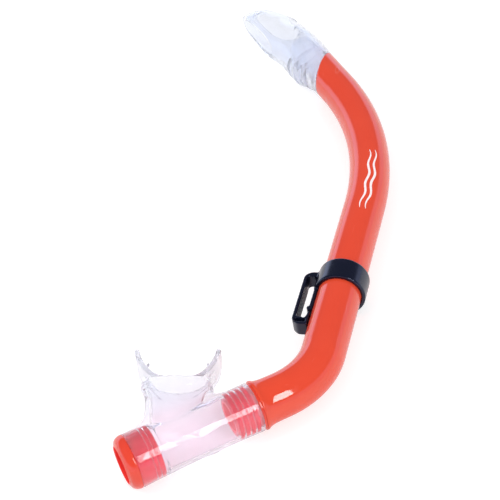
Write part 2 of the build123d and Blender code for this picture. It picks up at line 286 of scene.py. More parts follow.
def implicit_mesh(name, field, low, high, cell, passes):
    """Closed mesh of a field's surface, smoothed and pulled back onto it in each pass."""
    lines = [np.arange(low[i], high[i] + cell, cell) for i in range(3)]
    grid = np.stack(np.meshgrid(*lines, indexing="ij"), axis=-1)
    values = field(grid.reshape(-1, 3)).reshape(grid.shape[:3])
    spots, number = net_points(values)
    faces = net_faces(values, number)
    points = low + cell * spots
    pairs = np.concatenate([faces[:, [i, (i + 1) % 4]] for i in range(4)])
    neighbours = np.bincount(pairs[:, 0], minlength=len(points))
    for _ in range(passes):
        gathered = np.zeros_like(points)
        for i in range(3):
            gathered[:, i] = np.bincount(pairs[:, 0], points[pairs[:, 1], i], len(points))
        points = 0.5 * points + 0.5 * gathered / neighbours[:, None]
        for _ in range(PULLS_PER_PASS):
            points = pulled_onto(field, points, cell)
    return mesh_from(name, points, faces.tolist())


def loop_faces(rows, columns, closed_rows):
    """Four-sided faces over a grid of points whose columns always close up."""
    row = np.arange(rows if closed_rows else rows - 1)[:, None]
    column = np.arange(columns)[None, :]
    next_row, next_column = (row + 1) % rows, (column + 1) % columns
    corners = [(row, column), (row, next_column), (next_row, next_column), (next_row, column)]
    return np.stack([(r * columns + c).ravel() for r, c in corners], axis=1).tolist()


def softened(corners, radius, steps=4):
    """Closed outline with each corner rounded off."""
    corners = np.array(corners, float)
    rounded = []
    for i, corner in enumerate(corners):
        before = corners[i - 1] - corner
        after = corners[(i + 1) % len(corners)] - corner
        start = corner + before * min(LONGEST_CUT_BACK, radius / np.linalg.norm(before))
        end = corner + after * min(LONGEST_CUT_BACK, radius / np.linalg.norm(after))
        for t in np.linspace(0, 1, steps):
            rounded.append(start * (1 - t) ** 2 + corner * 2 * t * (1 - t) + end * t ** 2)
    return np.array(rounded)


def lathe(name, outline, segments=128):
    """Solid turned about the chamber's axis, from an outline of (radius, distance)."""
    side = np.cross(CHAMBER_WAY, UPRIGHT)
    side /= np.linalg.norm(side)
    other = np.cross(CHAMBER_WAY, side)
    turn = np.linspace(0, 2 * pi, segments, endpoint=False)
    ring = np.cos(turn)[:, None] * side + np.sin(turn)[:, None] * other
    points = JOINT + outline[:, None, :1] * ring + outline[:, None, 1:] * CHAMBER_WAY
    faces = loop_faces(len(outline), segments, True)
    return facing_out(mesh_from(name, points.reshape(-1, 3), faces))


# Tube

TUBE_SEGMENTS = 112
RIM_EASE = 45.0               # how far below the rim its sections begin to lean over
EDGE_SOFT = 0.35
EDGE_BEVEL = 0.1
COLLAR_LIP = 1.2
COLLAR_FADE = 2.3
COLLAR_END = 14.0
COLLAR_STEP = 0.4
OUTER_STEP = 1.3
INNER_STEP = 2.0


def collar_radius(along):
    """Outer radius of the tube: a thin trumpet-shaped lip at the mouthpiece end."""
    fade = np.exp(-np.maximum(along - COLLAR_LIP, 0) / COLLAR_FADE)
    return TUBE_R + (COLLAR_R - TUBE_R) * fade


def tube_outline():
    """Closed lengthwise outline of the wall as (radius, distance from the joint)."""
    last = RIM_AT - EDGE_SOFT
    collar_at = np.arange(EDGE_SOFT, COLLAR_END, COLLAR_STEP)
    run_at = np.arange(COLLAR_END, last, OUTER_STEP)
    outer_at = np.concatenate([collar_at, run_at, [last]])
    outer = np.stack([collar_radius(outer_at), outer_at], axis=1)
    inner_at = np.arange(last, EDGE_SOFT, -INNER_STEP)
    inner = np.stack([np.full(len(inner_at), TUBE_BORE_R), inner_at], axis=1)
    rim = [
        (TUBE_R - EDGE_BEVEL, RIM_AT - EDGE_BEVEL),
        (TUBE_R - EDGE_SOFT, RIM_AT),
        (TUBE_BORE_R + EDGE_SOFT, RIM_AT),
    ]
    foot = [
        (TUBE_BORE_R + EDGE_BEVEL, EDGE_BEVEL),
        (COLLAR_R - EDGE_SOFT, 0),
        (COLLAR_R - EDGE_BEVEL, EDGE_BEVEL),
    ]
    return np.concatenate([outer, rim, inner, foot])


def on_tube(radius, along, turn):
    """Points at a radius and a turn from the convex side; sections lean over near the top."""
    points, way, convex = centreline(along)
    lean = tan(radians(TOP_CUT_ANGLE)) * smooth_step(along, RIM_AT - RIM_EASE, RIM_AT)
    across = radius * np.cos(turn)
    up = radius * np.sin(turn)
    shift = across * lean
    return points + across[..., None] * convex + up[..., None] * UPRIGHT + shift[..., None] * way


def tube_mesh():
    """The tube's wall, swept along its centreline."""
    outline = tube_outline()
    turn = np.linspace(0, 2 * pi, TUBE_SEGMENTS, endpoint=False)[None, :]
    points = on_tube(outline[:, :1], outline[:, 1:], turn)
    faces = loop_faces(len(outline), TUBE_SEGMENTS, True)
    return mesh_from("tube_skin", points.reshape(-1, 3), faces)


# Generic printed mark: two thin wavy lines along the side of the tube. Places and widths
# across it are turns about the tube's axis.

MARK_START = 165.0
MARK_END = 222.0
MARK_STEP = 0.5
MARK_TURN = 76.0
MARK_GAP = 16.0
MARK_WAVE = 3.2
MARK_WAVE_LENGTH = 19.0
MARK_TIP_HALF = 0.25
MARK_SWELL = 3.2
MARK_FLAT = 0.8               # share of the width that is at full height
INK_HEIGHT = 0.05
INK_ROOT = -0.1


def mark_mesh(name, turn_offset):
    """A wavy band of ink, narrow at both ends, lying on the tube."""
    along = np.arange(MARK_START, MARK_END + 0.1, MARK_STEP)
    share = (along - MARK_START) / (MARK_END - MARK_START)
    wave = MARK_WAVE * np.sin(2 * pi * (along - MARK_START) / MARK_WAVE_LENGTH)
    half = MARK_TIP_HALF + MARK_SWELL * np.sqrt(np.sin(pi * np.clip(share, 0.001, 0.999)))
    middle = MARK_TURN + turn_offset + wave
    flat = MARK_FLAT * half
    edges = [
        (middle - half, 0.0), (middle - flat, INK_HEIGHT), (middle + flat, INK_HEIGHT),
        (middle + half, 0.0), (middle + flat, INK_ROOT), (middle - flat, INK_ROOT),
    ]
    columns = [on_tube(TUBE_R + lift, along, np.radians(turn)) for turn, lift in edges]
    points = np.stack(columns, axis=1).reshape(-1, 3)
    first_cap = list(range(len(edges)))
    last_cap = [len(points) - 1 - corner for corner in first_cap]
    faces = loop_faces(len(along), len(edges), False) + [first_cap, last_cap]
    return facing_out(mesh_from(name, points, faces))


# Connector, purge housing and valve disc, turned from outlines of (radius, distance along
# the chamber from the joint)

TURNED_SOFT = 0.25
CONNECTOR_BORE_R = 8.4
PLUG_R = 9.97
PLUG_LENGTH = 12.0
PLUG_TIP_R = 9.3
PLUG_BEVEL = 1.0
LIP_R = 13.4
LIP_THICKNESS = 1.3
LIP_SINK = 0.1                # the lip starts this far inside the tube's collar
SPIGOT_R = 11.1
SPIGOT_BEVEL = 0.5
RING_COUNT = 4
RING_PITCH = 3.2
RING_START = 3.0
RING_WIDTH = 2.6
RING_RISE = 0.4
RING_BEVEL = 0.3


def ring_corners(base_r, rise, start, width, bevel):
    """The four corners of a ring, or of a groove where the rise is negative."""
    crest_r = base_r + rise
    return [
        (base_r, start),
        (crest_r, start + bevel),
        (crest_r, start + width - bevel),
        (base_r, start + width),
    ]


def connector_outline():
    """Plug in the tube, thin lip against the sleeve, and a spigot with fine rings."""
    corners = [
        (CONNECTOR_BORE_R, -PLUG_LENGTH),
        (PLUG_TIP_R, -PLUG_LENGTH),
        (PLUG_R, -PLUG_LENGTH + PLUG_BEVEL),
        (PLUG_R, -LIP_SINK),
        (LIP_R, -LIP_SINK),
        (LIP_R, LIP_THICKNESS),
        (SPIGOT_R, LIP_THICKNESS),
    ]
    for ring in range(RING_COUNT):
        start = RING_START + RING_PITCH * ring
        corners += ring_corners(SPIGOT_R, RING_RISE, start, RING_WIDTH, RING_BEVEL)
    corners += [
        (SPIGOT_R, SPIGOT_LENGTH - SPIGOT_BEVEL),
        (SPIGOT_R - SPIGOT_BEVEL, SPIGOT_LENGTH),
        (CONNECTOR_BORE_R + SPIGOT_BEVEL, SPIGOT_LENGTH),
        (CONNECTOR_BORE_R, SPIGOT_LENGTH - 0.4),
    ]
    return softened(corners, TURNED_SOFT)


HOUSING_BORE_R = 11.0
BARREL_R = PURGE_GRIP_R + 0.12
BARREL_TIP_R = 12.8
BARREL_BEVEL = 0.6
GROOVE_COUNT = 2
GROOVE_PITCH = 2.4
GROOVE_FROM_RIM = 11.2
GROOVE_WIDTH = 0.7
GROOVE_DEPTH = 0.3
GROOVE_BEVEL = 0.2
NOSE_R = 15.1
NOSE_LENGTH = 6.3
NOSE_SOFT = 0.3
DOME_SPREAD = 3.6
DOME_FOOT = 0.4
DOME_HEIGHT = 5.4
OUTLET_LIP_R = 11.6
OUTLET_R = 10.4


def housing_outline():
    """Barrel with fine grooves, and the domed nose round the outlet with a thin lip."""
    rim = SLEEVE_LENGTH
    barrel_tip = rim - PURGE_BARREL
    nose_end = rim + NOSE_LENGTH
    corners = [
        (HOUSING_BORE_R, barrel_tip),
        (BARREL_TIP_R, barrel_tip),
        (BARREL_R, barrel_tip + BARREL_BEVEL),
    ]
    for groove in range(GROOVE_COUNT):
        start = rim - GROOVE_FROM_RIM + GROOVE_PITCH * groove
        corners += ring_corners(BARREL_R, -GROOVE_DEPTH, start, GROOVE_WIDTH, GROOVE_BEVEL)
    corners += [(BARREL_R, rim + 0.1), (NOSE_R, rim + 0.15)]
    for angle in np.radians(np.linspace(8, 82, 12)):
        height = rim + DOME_FOOT + DOME_HEIGHT * sin(angle)
        corners.append((OUTLET_LIP_R + DOME_SPREAD * cos(angle), height))
    corners += [
        (OUTLET_LIP_R, nose_end - 0.35),
        (OUTLET_LIP_R - 0.4, nose_end),
        (OUTLET_R + 0.1, nose_end),
        (OUTLET_R, nose_end - 0.7),
        (HOUSING_BORE_R, rim + 1.5),
    ]
    return softened(corners, NOSE_SOFT, 3)


SEAT_AT = SLEEVE_LENGTH - 6.0
DISC_R = 9.6
DISC_TOP = 0.9
DISC_LIFT = 0.02              # hairline gap that keeps the disc off its seat
DISC_SEGMENTS = 96
STEM_R = 0.95
KNOB_R = 1.75
KNOB_AT = -2.9
KNOB_END = -5.1


def disc_outline():
    """Thin dished disc with a stem and a knob behind the seat."""
    front = [(0, DISC_TOP), (3.0, DISC_TOP + 0.05), (7.5, DISC_TOP - 0.15), (9.5, DISC_TOP / 2)]
    back = [(DISC_R, 0.05), (9.3, DISC_LIFT), (7.5, 0.12), (2 * STEM_R, DISC_LIFT)]
    stem = [(STEM_R + 0.05, DISC_LIFT), (STEM_R, KNOB_AT)]
    knob = [(KNOB_R, KNOB_AT - 0.1), (1.7, -3.7), (0.8, -4.8), (0, KNOB_END)]
    return np.array(front + back + stem + knob) + (0, SEAT_AT)


# Mouthpiece

SLEEVE_R_AT_JOINT = 14.0
SLEEVE_WAIST = 1.9
SLEEVE_SWELL = 3.1
SLEEVE_EDGE = 0.6
BORE_STEP = 1.4               # length over which the bore widens for the purge barrel
PURGE_CLEARANCE = 2.6


def sleeve_radius(along):
    """Outer radius of the sleeve: a slight waist, widest at the purge end."""
    share = along / SLEEVE_LENGTH
    return SLEEVE_R_AT_JOINT - SLEEVE_WAIST * share + SLEEVE_SWELL * share ** 2


def chamber_parts(points):
    """Distance along the chamber from the joint, and distance from its axis."""
    away = points - JOINT
    along = away @ CHAMBER_WAY
    radial = np.linalg.norm(away - along[:, None] * CHAMBER_WAY, axis=1)
    return along, radial


def port_parts(points):
    """Sideways, upward and outward distances from the port's root."""
    away = points - PORT_ROOT
    return away @ FLANGE_WAY, away @ PORT_UP, away @ PORT_WAY


FLANGE_R = 22.2
FLANGE_HALF_HEIGHT = 13.0
FLANGE_HALF_LENGTH = 33.2
FLANGE_WALL = 1.7
FLANGE_CROWN = 0.006          # how fast the plate leans back away from its middle line
FLANGE_CORNER_R = 5.0
FLANGE_EDGE = 0.8
LIP_DIP = 4.4
LIP_DIP_WIDTH = 10.0
RIM_RISE = 0.55
RIM_WIDTH = 0.9


def flange_field(across, up, outward):
    """Curved bite plate with rounded ends, a thicker rim and a dip for the lip."""
    bow = outward - FLANGE_REACH - FLANGE_R + FLANGE_CROWN * up ** 2
    curve = np.sqrt(across ** 2 + bow ** 2)
    length = FLANGE_R * np.arctan2(np.abs(across), -bow)
    dip = LIP_DIP * bell(length, 0, LIP_DIP_WIDTH)
    side = np.maximum(length - (FLANGE_HALF_LENGTH - FLANGE_CORNER_R), 0)
    height = np.maximum(np.abs(up) + dip - (FLANGE_HALF_HEIGHT - FLANGE_CORNER_R), 0)
    edge = np.hypot(side, height) - FLANGE_CORNER_R
    rim = RIM_RISE * bell(edge, -RIM_WIDTH, RIM_WIDTH)
    plate = np.abs(curve - FLANGE_R) - FLANGE_WALL / 2 - rim
    return blend_max(plate, edge, FLANGE_EDGE)


TAB_OFFSET = 12.6
TAB_BASE = FLANGE_REACH + 3.9
TAB_REACH = 10.5
TAB_ROOT = 1.0                # how far each blade runs back into the flange
TAB_HALF_WIDTH = 4.4
TAB_HALF_WALL = 1.2
TAB_ROUND = 1.1
LUG_HALF_HEIGHT = 4.2
LUG_HALF_WALL = 1.3
LUG_ROUND = 1.25
LUG_BLEND = 2.5


def tab_field(across, up, outward):
    """Bite tabs: thin blades with an upright lug at the end of each."""
    sideways = np.abs(across) - TAB_OFFSET
    forward = outward - TAB_BASE
    blade_half = (TAB_HALF_WIDTH, TAB_HALF_WALL, TAB_REACH / 2 + TAB_ROOT)
    blade = rounded_box(sideways, up, forward - TAB_REACH / 2, blade_half, TAB_ROUND)
    lug_half = (TAB_HALF_WIDTH, LUG_HALF_HEIGHT, LUG_HALF_WALL)
    lug = rounded_box(sideways, up, forward - TAB_REACH + 1, lug_half, LUG_ROUND)
    return blend_min(blade, lug, LUG_BLEND)


PORT_HALF_ACROSS = 15.8
PORT_HALF_UP = 10.4
PORT_WALL_ACROSS = 2.3
PORT_WALL_UP = 2.2
PORT_PAST_FLANGE = 3.0
FLARE_ACROSS = 3.0
FLARE_UP = 1.6
FLARE_FADE = 4.5
LASTING_SPREAD = 0.6          # half of what the port gains towards the purge end
ROOT_SPREAD = 0.7             # and of what it gains more at its foot
ROOT_SPREAD_TO = 11.0
ROOT_SPREAD_FADE = 6.0
PORT_BLEND = 8.0
FLANGE_BLEND = 2.6
TAB_BLEND = 2.4
AIRWAY_BLEND = 1.5
MOUTH_EDGE = 0.5


def bore_radius(along):
    """The chamber's bore: snug on the spigot, and wide for the purge barrel."""
    shoulder = SLEEVE_LENGTH - PURGE_BARREL - PURGE_CLEARANCE
    past_spigot = smooth_step(along, SPIGOT_LENGTH - 0.4, SPIGOT_LENGTH + 0.6)
    at_barrel = smooth_step(along, shoulder, shoulder + BORE_STEP)
    radius = SPIGOT_GRIP_R + (CHAMBER_BORE_R - SPIGOT_GRIP_R) * past_spigot
    return radius + (PURGE_GRIP_R - CHAMBER_BORE_R) * at_barrel


def mouthpiece_field(points):
    """Sleeve, port, bite flange and tabs in one moulding, hollowed by the bore and airway."""
    along, radial = chamber_parts(points)
    across, up, outward = port_parts(points)
    ends = np.maximum(SLEEVE_START - along, along - SLEEVE_LENGTH)
    sleeve = blend_max(radial - sleeve_radius(along), ends, SLEEVE_EDGE)
    flare = np.exp(-np.maximum(FLANGE_REACH - outward, 0) / FLARE_FADE)
    half_across = PORT_HALF_ACROSS + FLARE_ACROSS * flare
    half_up = PORT_HALF_UP + FLARE_UP * flare
    past_root = np.maximum(outward - ROOT_SPREAD_TO, 0)
    spread = LASTING_SPREAD + ROOT_SPREAD * np.exp(-past_root / ROOT_SPREAD_FADE)
    port = oval(across + spread, up, half_across + spread, half_up)
    port = np.maximum(port, np.maximum(-outward, outward - FLANGE_REACH - PORT_PAST_FLANGE))
    body = blend_min(sleeve, port, PORT_BLEND)
    body = blend_min(body, flange_field(across, up, outward), FLANGE_BLEND)
    body = blend_min(body, tab_field(across, up, outward), TAB_BLEND)
    airway = oval(across, up, half_across - PORT_WALL_ACROSS, half_up - PORT_WALL_UP)
    airway = np.maximum(airway, -outward)
    hollow = blend_min(radial - bore_radius(along), airway, AIRWAY_BLEND)
    return blend_max(body, -hollow, MOUTH_EDGE)


# Strap keeper, in its own frame: the tube's axis is Y and the strap loop is towards -X

KEEPER_CENTRE = np.array([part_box("main_tube")[1][0] / MM - TUBE_R, KEEPER_MID_Y, 0.0])
KEEPER_HALF_DEPTH = 4.5
KEEPER_BORE_R = TUBE_R + 0.06
KEEPER_CLEAR_R = TUBE_R + 0.05
RING_OUTER_R = 14.9
RING_HALF_LENGTH = 7.8
RING_SOFT = 0.95
LOOP_OUTER_X = -22.25
LOOP_ROOT_X = -9.0            # inside the ring
LOOP_TOP_Y = 6.4
LOOP_LOW_Y = -37.0
LOOP_ROUND = 5.2
LOW_CORNER_CUT = 3.4
LOW_BAR = 5.8
TOP_WALL = 3.2
STRAP_WALL = 1.9
SLOT_ROUND = 2.2
TONGUE_FACE_X = -14.3
TONGUE_LOW_Y = -25.0
TONGUE_GAP = 2.0
TONGUE_GAP_FROM_X = -16.2
TONGUE_GAP_TO_X = -5.0
TOOTH_R = 1.3
HOOK_FACE_X = -12.75
HOOK_POCKET_X = -17.0
HOOK_WALL = 1.9
HOOK_FOOT = 5.2
POCKET_RIM = 1.7              # wall between the pocket and the loop's outer face
POCKET_HOOK_RIM = 1.4
POCKET_LOW = 1.6
POCKET_HIGH = 4.9
POCKET_ROUND = 0.9
POCKET_SLANT = 0.25
POCKET_FLOOR_Z = 1.9
RIB_RISE = 0.35
RIB_WIDTH = 0.5
RIB_PITCH = 1.8
ENDLESS = 9.0                 # half depth of a bar that is cut to its real depth later


def bar_field(x, y, left, right, low, high, radius):
    """Bar between two X values and two Y values, deeper in Z than the keeper."""
    half = ((right - left) / 2, (high - low) / 2, ENDLESS)
    return rounded_box(x - (left + right) / 2, y - (low + high) / 2, 0 * x, half, radius)


def keeper_ring(x, y, z):
    """Ring that grips the tube, with a rounded rim at both ends."""
    radial = np.hypot(x, z)
    over = np.maximum(radial - RING_OUTER_R + RING_SOFT, 0)
    past = np.maximum(np.abs(y) - RING_HALF_LENGTH + RING_SOFT, 0)
    outer = np.hypot(over, past) - RING_SOFT
    return blend_max(outer, KEEPER_BORE_R - radial, width=0.25)


def strap_ribs(x, y, z):
    """Height of the fine ribs on the inner face of the loop's outer wall."""
    from_wall = x - LOOP_OUTER_X - STRAP_WALL
    rib = RIB_RISE * bell(from_wall, 0, RIB_WIDTH) * (0.5 + 0.5 * np.cos(2 * pi * z / RIB_PITCH))
    beside_slot = (y > LOOP_LOW_Y + 9) & (y < LOOP_TOP_Y - 8)
    return np.where(beside_slot, rib, 0)


def keeper_loop(x, y, z):
    """Open loop for the strap: outer wall, neck, bar with a hook, and a tongue with a tooth."""
    outer = bar_field(x, y, LOOP_OUTER_X, LOOP_ROOT_X, LOOP_LOW_Y, LOOP_TOP_Y, LOOP_ROUND)
    low_corner = (LOOP_OUTER_X - x + LOOP_LOW_Y - y + LOW_CORNER_CUT) * sqrt(0.5)
    outer = blend_max(outer, low_corner, width=0.8)
    slot = bar_field(x, y, LOOP_OUTER_X + STRAP_WALL, TONGUE_FACE_X,
                     LOOP_LOW_Y + LOW_BAR, LOOP_TOP_Y - TOP_WALL, SLOT_ROUND)
    under_tongue = bar_field(x, y, TONGUE_GAP_FROM_X, TONGUE_GAP_TO_X,
                             TONGUE_LOW_Y - TONGUE_GAP, TONGUE_LOW_Y, 0.3)
    behind_hook = bar_field(x, y, HOOK_POCKET_X, HOOK_FACE_X - HOOK_WALL,
                            LOOP_LOW_Y + HOOK_FOOT, TONGUE_LOW_Y, 1.2)
    loop = blend_max(outer, -slot, width=0.5)
    loop = blend_max(loop, -under_tongue, width=0.4)
    loop = blend_max(loop, -behind_hook, width=0.4)
    inner_face = np.where(y < TONGUE_LOW_Y - 1, HOOK_FACE_X, -TUBE_R + 0.6)
    loop = blend_max(loop, x - inner_face, width=0.3)
    tooth = np.hypot(x - TONGUE_FACE_X - 0.1, y - TONGUE_LOW_Y - 1.5) - TOOTH_R
    loop = blend_min(loop, tooth, width=0.5) - strap_ribs(x, y, z)
    return blend_max(loop, np.abs(z) - KEEPER_HALF_DEPTH, width=0.5)


def keeper_recess(x, y, z):
    """Pocket in the top face of the loop's bar, with a slanted rim."""
    left, right = LOOP_OUTER_X + POCKET_RIM, HOOK_FACE_X - POCKET_HOOK_RIM
    low, high = LOOP_LOW_Y + POCKET_LOW, LOOP_LOW_Y + POCKET_HIGH
    pocket = bar_field(x, y, left, right, low, high, POCKET_ROUND)
    slanted = pocket - POCKET_SLANT * (z - KEEPER_HALF_DEPTH)
    return np.maximum(slanted, POCKET_FLOOR_Z - z)


def keeper_field(points):
    """Ring and loop in one moulding, clear of the tube."""
    x, y, z = (points - KEEPER_CENTRE).T
    from_axis = np.hypot(x, z)
    loop = blend_max(keeper_loop(x, y, z), KEEPER_BORE_R - from_axis, width=0.2)
    body = blend_min(keeper_ring(x, y, z), loop, width=1.2)
    body = blend_max(body, KEEPER_CLEAR_R - from_axis, width=0.15)
    return blend_max(body, -keeper_recess(x, y, z), width=0.35)


# Splash guard, in the tube's top frame; a share is a share of the hood's length

HOOD_WALL = 1.6
CORE_R = 10.06
CORE_LENGTH = 15.0
SOCKET_R = 9.96
SOCKET_BORE_R = 8.6
SOCKET_MIDDLE = 8.0
SOCKET_HALF_LENGTH = 28.0
CUT_CLEARANCE = 0.06
HOOD_SWELL = 3.1              # past the tube's radius
SWELL_SHIFT = 3.2             # the three shifts carry the middle to the hollow side
BELLY_SHIFT = 4.0
CURL_SHIFT = 9.0
BELLY_RISE = 2.4
FLANK_TAPER = 2.4
TIP_TAPER = 3.6
TIP_ASIDE = 1.0
TIP_FROM = 0.7                # shares, as is the span
TIP_SPAN = 0.27
SCOOP_FROM = 45.0
SCOOP_SHIFT = 18.9
SCOOP_SLOPE = 0.045
SHELL_STEP_AT = 45.0
SHELL_STEP_SLANT = 1.75
SHELL_STEP = 0.45
UPPER_BEAD = (11.2, 1.1, 1.0)  # place along the top end, width and height
LOWER_BEAD = (2.0, 0.9, 0.8)
CRESCENT_ALONG = 75.0
CRESCENT_SHIFT = 11.0
CRESCENT_R = 8.0
CRESCENT_HALF_WIDTH = 0.55
CRESCENT_DEPTH = 0.6
CRESCENT_CUT_ALONG = 80.0     # the ring is kept only past a slanted line from here
CRESCENT_CUT_SLANT = 0.4
UPPER_SIDE = 5.0              # above the tube's plane
DRAINS_AT = (7.0, 18.9)
DRAIN_HALF = (0.9, 10.0, 8.6)
DRAIN_SHIFT = 18.0
DRAIN_ROUND = 0.8


def top_parts(points):
    """Along the top end, towards the hollow side, and across, from the slanted cut's middle."""
    away = points - RIM_CENTRE
    return away @ TOP_WAY, away @ HOLLOW_WAY, away[:, 2]


def above_cut(along, shift):
    """Distance past the slanted cut at the tube's top."""
    angle = radians(TOP_CUT_ANGLE)
    return along * cos(angle) + shift * sin(angle)


def drain_slots(along, shift, across):
    """Slots through the hollow side of the hood and the socket."""
    slots = [rounded_box(along - at, shift - DRAIN_SHIFT, across, DRAIN_HALF, DRAIN_ROUND)
             for at in DRAINS_AT]
    return np.minimum.reduce(slots)


def hood_surface_marks(along, shift):
    """Height of the thicker skin near the tube, and of its two beads."""
    below_step = smooth_step(SHELL_STEP_AT - SHELL_STEP_SLANT * shift - along, -0.6, 0.6)
    step = SHELL_STEP * below_step * smooth_step(above_cut(along, shift), 0.5, 5)
    beads = sum(rise * bell(along, place, width) for place, width, rise in (UPPER_BEAD, LOWER_BEAD))
    return step + beads * smooth_step(shift, 2, 9)


def hood_outside(along, shift, across):
    """The horn: it swells past the tube, bends to the hollow side and closes at the tip."""
    share = along / HOOD_LENGTH
    swell = smooth_step(share, -0.05, 0.2)
    belly = smooth_step(share, 0.4, 0.7)
    nearing_tip = smooth_step(share, 0.6, 0.9)
    curl = np.clip((share - 0.6) / 0.4, 0, 1.1) ** 2
    middle = SWELL_SHIFT * swell + BELLY_SHIFT * smooth_step(share, 0.35, 0.65) + CURL_SHIFT * curl
    half_in_plane = TUBE_R + HOOD_SWELL * swell + BELLY_RISE * belly
    half_across = TUBE_R + HOOD_SWELL * smooth_step(share, 0, 0.25)
    half_across -= FLANK_TAPER * smooth_step(share, 0.4, 0.65) + TIP_TAPER * nearing_tip
    plane_part = (shift - middle) / half_in_plane
    across_part = (across - TIP_ASIDE * nearing_tip) / half_across
    tip_part = np.maximum(share - TIP_FROM, 0) / TIP_SPAN
    reach = np.sqrt(plane_part ** 2 + across_part ** 2 + tip_part ** 4)
    skin_distance = (reach - 1) * np.minimum(half_in_plane, half_across)
    return skin_distance - hood_surface_marks(along, shift)


def crescent_groove(along, shift, across, outside):
    """Small curved groove on the upper side, near the tip."""
    from_middle = np.hypot(along - CRESCENT_ALONG, shift - CRESCENT_SHIFT)
    band = np.abs(from_middle - CRESCENT_R) - CRESCENT_HALF_WIDTH
    tip_side = CRESCENT_CUT_ALONG - along - CRESCENT_CUT_SLANT * (shift - CRESCENT_SHIFT)
    return np.maximum.reduce([band, tip_side, UPPER_SIDE - across, -outside - CRESCENT_DEPTH])


def hood_field(points):
    """The horn with its hollow, scoop, slots and crescent, cut to fit the tube."""
    along, shift, across = top_parts(points)
    outside = hood_outside(along, shift, across)
    core = np.hypot(shift, across) - CORE_R
    room = np.maximum(outside + HOOD_WALL + 0.4, CORE_LENGTH - along)
    hood = blend_max(outside, -blend_min(core, room, 2.0), width=0.4)
    scoop_plane = SCOOP_SHIFT + SCOOP_SLOPE * (along - SCOOP_FROM) - shift
    scoop = blend_max(scoop_plane, SCOOP_FROM - along, width=2.5)
    hood = blend_max(hood, -scoop, width=0.7)
    hood = blend_max(hood, -crescent_groove(along, shift, across, outside), width=0.3)
    hood = blend_max(hood, -drain_slots(along, shift, across), width=0.3)
    return blend_max(hood, CUT_CLEARANCE - above_cut(along, shift), width=0.3)


def socket_field(points):
    """Plain pipe inside the tube and the hood, with the same drain slots."""
    along, shift, across = top_parts(points)
    radial = np.hypot(shift, across)
    pipe = blend_max(radial - SOCKET_R, SOCKET_BORE_R - radial, width=0.3)
    pipe = blend_max(pipe, np.abs(along - SOCKET_MIDDLE) - SOCKET_HALF_LENGTH, width=0.4)
    return blend_max(pipe, -drain_slots(along, shift, across), width=0.3)


# Shader nodes

# Places of a mix node's first input, second input and result, for each kind of value
MIX_PLACES = {"RGBA": (6, 7, 2), "FLOAT": (2, 3, 0)}


class Nodes:
    """Short ways to add nodes to a shader tree. A value may be plain or another node's output,
    and a plain colour has three parts."""

    def __init__(self, tree):
        self.tree = tree

    def add(self, kind):
        return self.tree.nodes.new("ShaderNode" + kind)

    def feed(self, socket, value):
        """Links a socket to an output, or sets it to a plain value."""
        if isinstance(value, bpy.types.NodeSocket):
            self.tree.links.new(value, socket)
        elif socket.type == "RGBA":
            socket.default_value = (*value, 1)
        else:
            socket.default_value = value

    def math(self, operation, *values):
        """The result of a sum, product or comparison."""
        node = self.add("Math")
        node.operation = operation
        for socket, value in zip(node.inputs, values):
            self.feed(socket, value)
        return node.outputs[0]

    def ranged(self, value, low, high, start=0.3, end=0.7, ease="LINEAR"):
        """The value carried from start..end to low..high."""
        node = self.add("MapRange")
        node.interpolation_type = ease
        self.feed(node.inputs["Value"], value)
        self.feed(node.inputs["From Min"], start)
        self.feed(node.inputs["From Max"], end)
        self.feed(node.inputs["To Min"], low)
        self.feed(node.inputs["To Max"], high)
        return node.outputs["Result"]

    def mixed(self, share, first, second, kind="RGBA"):
        """The first value where the share is 0, the second where it is 1."""
        first_place, second_place, result_place = MIX_PLACES[kind]
        node = self.add("Mix")
        node.data_type = kind
        self.feed(node.inputs[0], share)
        self.feed(node.inputs[first_place], first)
        self.feed(node.inputs[second_place], second)
        return node.outputs[result_place]


class Material(Nodes):
    """A new material's shader tree, with procedural textures in object coordinates."""

    def __init__(self, name):
        self.material = bpy.data.materials.new(name)
        self.material.use_nodes = True
        super().__init__(self.material.node_tree)
        self.shader = self.tree.nodes["Principled BSDF"]
        self.place = self.add("TexCoord").outputs["Object"]

    def noise(self, scale, detail, stretch=(1, 1, 1)):
        """A noise between 0 and 1, stretched along each axis whose number is below 1."""
        mapping = self.add("Mapping")
        self.feed(mapping.inputs["Vector"], self.place)
        self.feed(mapping.inputs["Scale"], stretch)
        texture = self.add("TexNoise")
        self.feed(texture.inputs["Vector"], mapping.outputs["Vector"])
        self.feed(texture.inputs["Scale"], scale)
        self.feed(texture.inputs["Detail"], detail)
        return texture.outputs["Fac"]

    def bump(self, height, strength, distance, below=None):
        """A bumpy normal, on top of another one where it is given."""
        node = self.add("Bump")
        self.feed(node.inputs["Height"], height)
        self.feed(node.inputs["Strength"], strength)
        self.feed(node.inputs["Distance"], distance)
        if below is not None:
            self.feed(node.inputs["Normal"], below)
        return node.outputs["Normal"]

    def attribute(self, name):
        """A value that is stored on each point of the mesh."""
        node = self.add("Attribute")
        node.attribute_name = name
        return node.outputs["Fac"]

    def set(self, **values):
        """Feeds the main shader's inputs, with _ in a name for each space."""
        for name, value in values.items():
            self.feed(self.shader.inputs[name.replace("_", " ")], value)


# Materials, with noise scales per metre and bump distances in metres

ALONG_Y = (1, 0.12, 1)        # stretches a noise along the tube's straight run
SCRATCH_STRETCH = (1, 0.10, 1)
SCRATCH_LEVEL = 0.5
SCRATCH_WIDTH = 0.006
SCRATCH_PINK = (0.95, 0.42, 0.36)
# Painted light: a brighter crimson for red parts seen through the clear sleeve
PAINTED_SLEEVE_CRIMSON = (0.80, 0.024, 0.050)
# Painted glow: emission in the bores of red parts, standing in for light through their thin walls
PAINTED_WALL_GLOW = (0.72, 0.010, 0.035)
PAINTED_WALL_GLOW_STRENGTH = 0.3
SHADOW_TINT = (0.95, 0.955, 0.97)
MOST_MILKY = 0.5              # what edge-on skin loses in clearness


